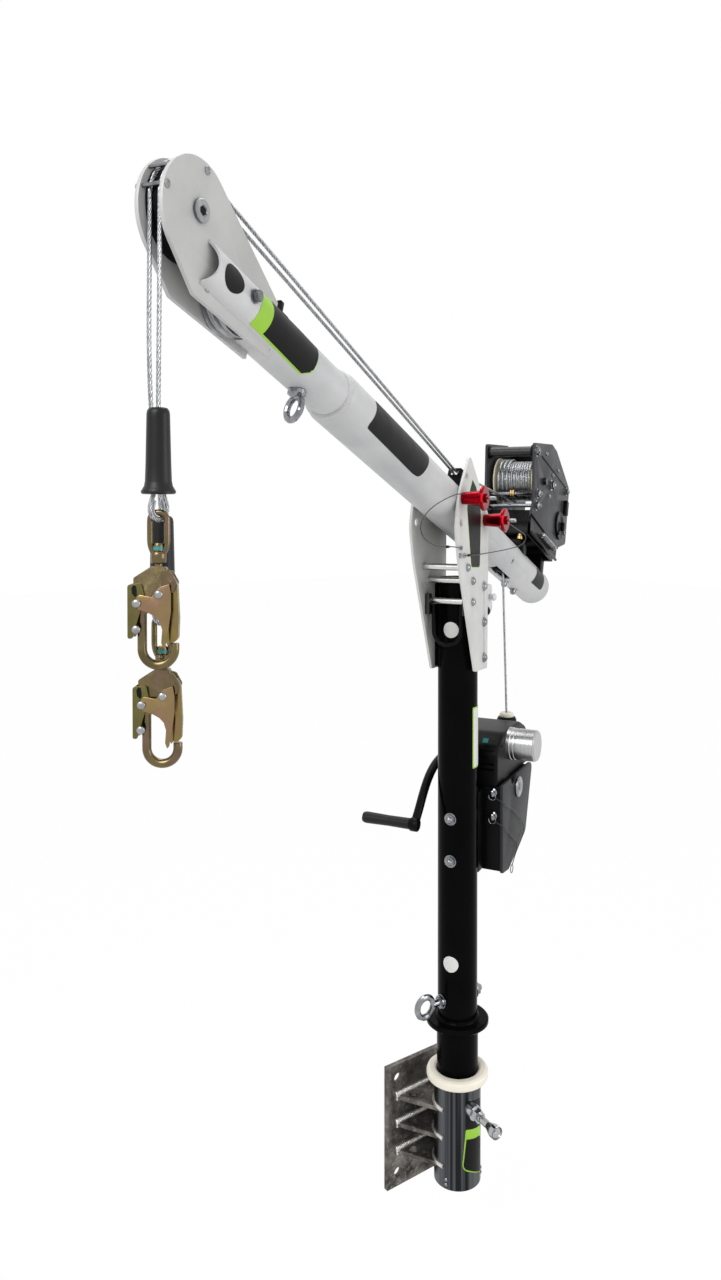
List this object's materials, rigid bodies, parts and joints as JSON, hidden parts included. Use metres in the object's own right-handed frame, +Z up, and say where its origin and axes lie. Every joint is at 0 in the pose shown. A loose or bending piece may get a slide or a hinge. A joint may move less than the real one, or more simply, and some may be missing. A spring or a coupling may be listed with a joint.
{
  "type": "davit crane",
  "caption": "Wall-mounted davit crane: slewing mast in a bolted sleeve, tilting boom with rope sheaves, geared winch, cranked lifeline unit and swivel snap hooks.",
  "frame": {"origin": "centre of the wall plate's bolt pattern on its back face", "axes": "+Y into the wall along the bolts, +Z up along the mast, +X along the wall; the mast is stored slewed 28 degrees about +Z from the wall's own axes"},
  "size_m": [1.3732, 0.7818, 1.6359],
  "materials": {
    "mast_black": "gloss black powder coat",
    "head_silver": "satin silver paint",
    "boom_silver": "satin silver paint on aluminium tube",
    "red_anodised": "red anodised",
    "bright_steel": "bright plated",
    "dark_steel": "bare dark mottled steel",
    "cream_plastic": "cream nylon",
    "black_plastic": "black moulded",
    "grey_plastic": "dark grey moulded",
    "cap_aluminium": "turned aluminium",
    "zinc_gold": "yellow zinc plated",
    "wire_rope": "galvanised wire rope",
    "black_rubber": "black rubber",
    "winch_black": "satin black paint",
    "black_wire": "black coated wire",
    "drum_cream": "cream coated"
  },
  "bodies": {
    "base": {"wall_plate": "dark_steel", "gusset_plates": "dark_steel", "sleeve_tube": "dark_steel", "sleeve_liner": "cream_plastic", "sleeve_stop": "bright_steel", "plunger_housing": "bright_steel"},
    "plunger": {"plunger_pin": "bright_steel"},
    "mast": {"mast_tube": "mast_black", "mast_spigot": "mast_black", "mast_eye_bolt": "bright_steel", "mast_head_plates": "head_silver", "head_spacer_rods": "bright_steel", "mast_bolts": "bright_steel", "mast_head_brackets": "head_silver", "angle_pin_lanyard": "black_wire", "pivot_pin_lanyard": "black_wire", "srl_bracket": "mast_black", "srl_body": "black_plastic", "srl_cover": "grey_plastic", "srl_dome": "black_plastic", "srl_cap": "cap_aluminium", "srl_fittings": "bright_steel", "lifeline_rise": "wire_rope"},
    "handle": {"carry_handle": "black_plastic"},
    "crank": {"crank_arm": "winch_black"},
    "grip": {"crank_grip": "black_rubber"},
    "boom": {"boom_outer_tube": "boom_silver", "boom_inner_tube": "boom_silver", "boom_head_plates": "head_silver", "boom_head_axle": "bright_steel", "boom_fasteners": "bright_steel", "boom_eye": "bright_steel", "rope_fairlead": "black_plastic", "winch_bracket": "winch_black", "winch_side_plates": "winch_black", "winch_cross_bars": "bright_steel", "hoist_rope": "wire_rope", "lifeline_rope": "wire_rope"},
    "near_sheave": {"head_sheave_near": "black_plastic"},
    "far_sheave": {"head_sheave_far": "black_plastic"},
    "tail_wheel": {"tail_sheave": "black_plastic"},
    "drum": {"winch_drum": "drum_cream", "winch_winding": "wire_rope"},
    "pinion": {"winch_pinion": "dark_steel"},
    "angle_pin": {"angle_pin": "red_anodised"},
    "angle_button": {"angle_pin_button": "bright_steel"},
    "pivot_pin": {"pivot_pin": "red_anodised"},
    "pivot_button": {"pivot_pin_button": "bright_steel"},
    "hoist_line": {"hoist_rope_drop": "wire_rope"},
    "hoist_end": {"hoist_rope_end": "black_rubber", "hoist_link": "zinc_gold"},
    "hook_a": {"hook_a_body": "zinc_gold"},
    "gate_a": {"hook_a_gate": "zinc_gold"},
    "lock_a": {"hook_a_lock": "zinc_gold"},
    "life_line": {"lifeline_rope_drop": "wire_rope"},
    "life_end": {"lifeline_rope_end": "black_rubber", "lifeline_link": "zinc_gold"},
    "hook_b": {"hook_b_body": "zinc_gold"},
    "gate_b": {"hook_b_gate": "zinc_gold"},
    "lock_b": {"hook_b_lock": "zinc_gold"}
  },
  "joints": [
    {"name": "mast_slew", "type": "hinge", "parent": "base", "child": "mast", "pos_m": [0, -0.09, 0.0685], "axis": [0, 0, 1], "continuous": true},
    {"name": "plunger_pull", "type": "slide", "parent": "base", "child": "plunger", "axis": [-0.1219, -0.9925, 0], "range_m": [0, 0.008], "stiffness_N_per_m": 900, "springref_m": -0.006},
    {"name": "handle_swing", "type": "hinge", "parent": "mast", "child": "handle", "pos_m": [-0.04786, -0.11545, 0.9805], "axis": [-0.4695, 0.8829, 0], "range_deg": [0, 100]},
    {"name": "crank_turn", "type": "hinge", "parent": "mast", "child": "crank", "pos_m": [0.11743, -0.02756, 0.6765], "axis": [-0.4695, 0.8829, 0], "continuous": true},
    {"name": "grip_spin", "type": "hinge", "parent": "crank", "child": "grip", "pos_m": [-0.05739, -0.12052, 0.5815], "axis": [-0.4695, 0.8829, 0], "continuous": true},
    {"name": "boom_tilt", "type": "hinge", "parent": "mast", "child": "boom", "pos_m": [0.01854, -0.08014, 1.1305], "axis": [-0.4695, 0.8829, 0], "range_deg": [-20, 20], "deforming": ["hoist_rope", "lifeline_rope", "lifeline_rise"]},
    {"name": "angle_pin_pull", "type": "slide", "parent": "mast", "child": "angle_pin", "axis": [0.4695, -0.8829, 0], "range_m": [0, 0.12]},
    {"name": "angle_button_press", "type": "slide", "parent": "angle_pin", "child": "angle_button", "axis": [-0.4695, 0.8829, 0], "range_m": [0, 0.0025], "stiffness_N_per_m": 600, "springref_m": -0.004},
    {"name": "pivot_pin_pull", "type": "slide", "parent": "mast", "child": "pivot_pin", "axis": [0.4695, -0.8829, 0], "range_m": [0, 0.12]},
    {"name": "pivot_button_press", "type": "slide", "parent": "pivot_pin", "child": "pivot_button", "axis": [-0.4695, 0.8829, 0], "range_m": [0, 0.0025], "stiffness_N_per_m": 600, "springref_m": -0.004},
    {"name": "drum_turn", "type": "hinge", "parent": "boom", "child": "drum", "pos_m": [0.35047, 0.09635, 1.21038], "axis": [-0.4695, 0.8829, 0], "range_deg": [-119, 598]},
    {"name": "pinion_spin", "type": "hinge", "parent": "boom", "child": "pinion", "pos_m": [0.40307, 0.12432, 1.20323], "axis": [-0.4695, 0.8829, 0], "range_deg": [-2392, 476]},
    {"name": "near_sheave_spin", "type": "hinge", "parent": "boom", "child": "near_sheave", "pos_m": [-0.72209, -0.47394, 1.46531], "axis": [-0.4695, 0.8829, 0], "range_deg": [-544.9, 109.23]},
    {"name": "far_sheave_spin", "type": "hinge", "parent": "boom", "child": "far_sheave", "pos_m": [-0.72209, -0.47394, 1.46531], "axis": [-0.4695, 0.8829, 0], "range_deg": [-546.67, 110.13]},
    {"name": "tail_sheave_spin", "type": "hinge", "parent": "boom", "child": "tail_wheel", "pos_m": [0.1998, 0.00944, 1.04464], "axis": [-0.4695, 0.8829, 0], "range_deg": [-1146.92, 230.18]},
    {"name": "hoist_hang", "type": "hinge", "parent": "boom", "child": "hoist_line", "pos_m": [-0.72209, -0.47394, 1.46531], "axis": [-0.4695, 0.8829, 0], "range_deg": [-20, 20]},
    {"name": "hoist_lift", "type": "slide", "parent": "hoist_line", "child": "hoist_end", "axis": [0, 0, 1], "range_m": [-0.5, 0.1], "deforming": ["hoist_rope_drop"]},
    {"name": "hook_a_swivel", "type": "hinge", "parent": "hoist_end", "child": "hook_a", "pos_m": [-0.77132, -0.51167, 1.0995], "axis": [0, 0, 1], "range_deg": [-15, 15]},
    {"name": "gate_a_open", "type": "hinge", "parent": "hook_a", "child": "gate_a", "pos_m": [-0.76036, -0.51989, 1.0805], "axis": [0.6, 0.8, 0], "range_deg": [0, 17], "stiffness_Nm_per_rad": 0.4, "springref_deg": -8.59},
    {"name": "lock_a_press", "type": "hinge", "parent": "hook_a", "child": "lock_a", "pos_m": [-0.78724, -0.49973, 1.0606], "axis": [-0.6, -0.8, 0], "range_deg": [0, 8], "stiffness_Nm_per_rad": 0.4, "springref_deg": -8.59},
    {"name": "life_hang", "type": "hinge", "parent": "boom", "child": "life_line", "pos_m": [-0.72209, -0.47394, 1.46531], "axis": [-0.4695, 0.8829, 0], "range_deg": [-20, 20]},
    {"name": "life_pull", "type": "slide", "parent": "life_line", "child": "life_end", "axis": [0, 0, 1], "range_m": [-0.5, 0.1], "deforming": ["lifeline_rope_drop"]},
    {"name": "hook_b_swivel", "type": "hinge", "parent": "life_end", "child": "hook_b", "pos_m": [-0.75371, -0.4809, 0.9915], "axis": [0, 0, 1], "continuous": true},
    {"name": "gate_b_open", "type": "hinge", "parent": "hook_b", "child": "gate_b", "pos_m": [-0.74275, -0.48912, 0.9725], "axis": [0.6, 0.8, 0], "range_deg": [0, 17], "stiffness_Nm_per_rad": 0.4, "springref_deg": -8.59},
    {"name": "lock_b_press", "type": "hinge", "parent": "hook_b", "child": "lock_b", "pos_m": [-0.76963, -0.46896, 0.9526], "axis": [-0.6, -0.8, 0], "range_deg": [0, 8], "stiffness_Nm_per_rad": 0.4, "springref_deg": -8.59}
  ],
  "couplings": [
    {"joint": "pinion_spin", "follows": "drum_turn", "ratio": -4},
    {"joint": "near_sheave_spin", "follows": "drum_turn", "ratio": -0.90952},
    {"joint": "hoist_lift", "follows": "drum_turn", "m_per_rad": -0.04775},
    {"joint": "far_sheave_spin", "follows": "life_pull", "rad_per_m": 19.048},
    {"joint": "tail_sheave_spin", "follows": "life_pull", "rad_per_m": 40},
    {"joint": "hoist_hang", "follows": "boom_tilt", "ratio": -1},
    {"joint": "life_hang", "follows": "boom_tilt", "ratio": -1}
  ]
}
